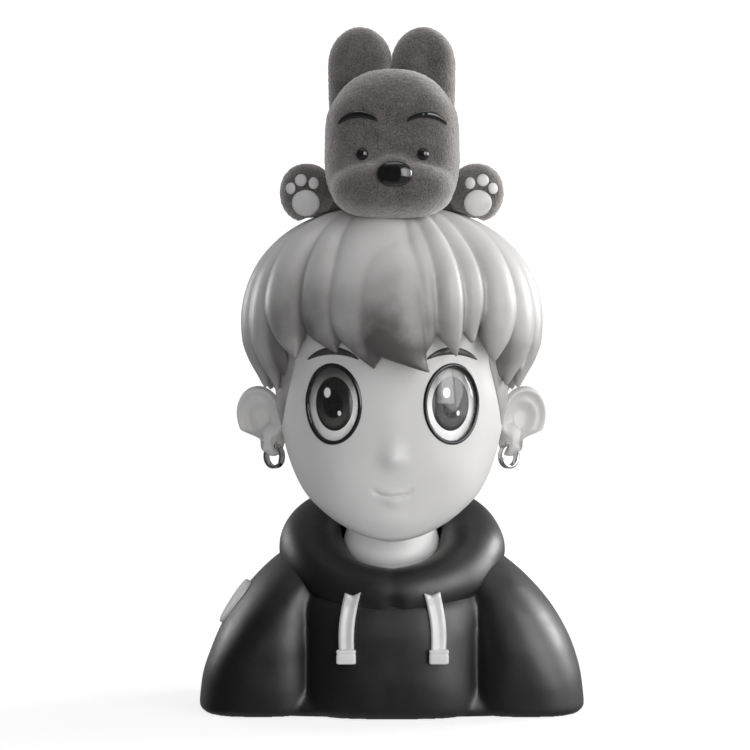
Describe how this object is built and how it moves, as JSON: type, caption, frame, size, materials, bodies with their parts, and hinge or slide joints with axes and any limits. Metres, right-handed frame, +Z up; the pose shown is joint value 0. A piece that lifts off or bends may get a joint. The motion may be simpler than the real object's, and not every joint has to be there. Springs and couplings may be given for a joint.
{
  "type": "vinyl art toy",
  "caption": "Vinyl bust figurine in a dark hooded top, with big glossy eyes, puffy pale hair, hoop earrings and a small flocked animal riding on its head.",
  "frame": {"origin": "centre of the base's resting face, on the neck's vertical axis", "axes": "+Z up, -Y is the way the toy faces, +X to its own left-hand side as the viewer's right"},
  "size_m": [0.141, 0.1152, 0.25],
  "materials": {
    "hoodie_vinyl": "satin soft-touch",
    "skin_vinyl": "satin",
    "hair_vinyl": "satin, airbrushed darker at the tips",
    "sideburn_vinyl": "satin",
    "trim_vinyl": "satin",
    "eye_dark": "gloss",
    "eye_iris": "gloss print",
    "eye_white": "gloss",
    "eye_clear": "polished acrylic",
    "brow_paint": "satin",
    "hoop_chrome": "polished",
    "flock": "flocked",
    "flock_trim": "gloss",
    "paw_pad": "matt",
    "inner_plastic": "moulded",
    "foam": "closed-cell foam",
    "screw_steel": "zinc plated"
  },
  "bodies": {
    "bust": {"hoodie_shell": "hoodie_vinyl", "hood_collar": "hoodie_vinyl", "neck_plug": "skin_vinyl", "neck_washer": "inner_plastic", "neck_screw": "screw_steel", "base_plate": "inner_plastic", "base_pad": "foam", "base_screws": "screw_steel", "sleeve_patch": "trim_vinyl", "drawstring_left": "trim_vinyl", "drawstring_right": "trim_vinyl", "drawstring_tip_left": "trim_vinyl", "drawstring_tip_right": "trim_vinyl"},
    "head": {"head_shell": "skin_vinyl", "neck_socket": "skin_vinyl", "hair_fringe": "hair_vinyl", "hair_side_left": "hair_vinyl", "hair_side_right": "hair_vinyl", "hair_back": "hair_vinyl", "sideburn_left": "sideburn_vinyl", "sideburn_right": "sideburn_vinyl", "ear_left": "skin_vinyl", "ear_right": "skin_vinyl", "brow_left": "brow_paint", "brow_right": "brow_paint", "rider_cup": "inner_plastic", "eye_rim_left": "eye_dark", "eye_cup_left": "eye_white", "eye_iris_left": "eye_iris", "eye_lens_left": "eye_clear", "eye_rim_right": "eye_dark", "eye_cup_right": "eye_white", "eye_iris_right": "eye_iris", "eye_lens_right": "eye_clear"},
    "hoop_left": {"earring_left": "hoop_chrome"},
    "hoop_right": {"earring_right": "hoop_chrome"},
    "rider": {"rider_body": "flock", "rider_head": "flock", "rider_nose": "flock_trim", "rider_peg": "inner_plastic", "rider_tail": "flock", "rider_eye_left": "flock_trim", "rider_ear_left": "flock", "rider_brow_left": "flock_trim", "rider_foot_left": "flock", "rider_eye_right": "flock_trim", "rider_ear_right": "flock", "rider_brow_right": "flock_trim", "rider_foot_right": "flock"},
    "arm_left": {"rider_arm_left": "flock", "paw_pads_left": "paw_pad"},
    "arm_right": {"rider_arm_right": "flock", "paw_pads_right": "paw_pad"}
  },
  "joints": [
    {"name": "head_turn", "type": "hinge", "parent": "bust", "child": "head", "pos_m": [0, 0, 0.088], "axis": [0, 0, 1], "range_deg": [-40, 40]},
    {"name": "earring_left_swing", "type": "hinge", "parent": "head", "child": "hoop_left", "pos_m": [-0.0436, -0.0006, 0.0954], "axis": [0.766, -0.6428, 0], "range_deg": [-25, 25]},
    {"name": "earring_right_swing", "type": "hinge", "parent": "head", "child": "hoop_right", "pos_m": [0.0436, -0.0006, 0.0954], "axis": [0.766, 0.6428, 0], "range_deg": [-25, 25]},
    {"name": "rider_turn", "type": "hinge", "parent": "head", "child": "rider", "pos_m": [0, 0, 0.18], "axis": [0, 0, 1], "range_deg": [-30, 30]},
    {"name": "rider_arm_left_lift", "type": "hinge", "parent": "rider", "child": "arm_left", "pos_m": [-0.015, 0.012, 0.191], "axis": [-1, 0, 0], "range_deg": [0, 35]},
    {"name": "rider_arm_right_lift", "type": "hinge", "parent": "rider", "child": "arm_right", "pos_m": [0.015, 0.012, 0.191], "axis": [-1, 0, 0], "range_deg": [0, 35]}
  ]
}
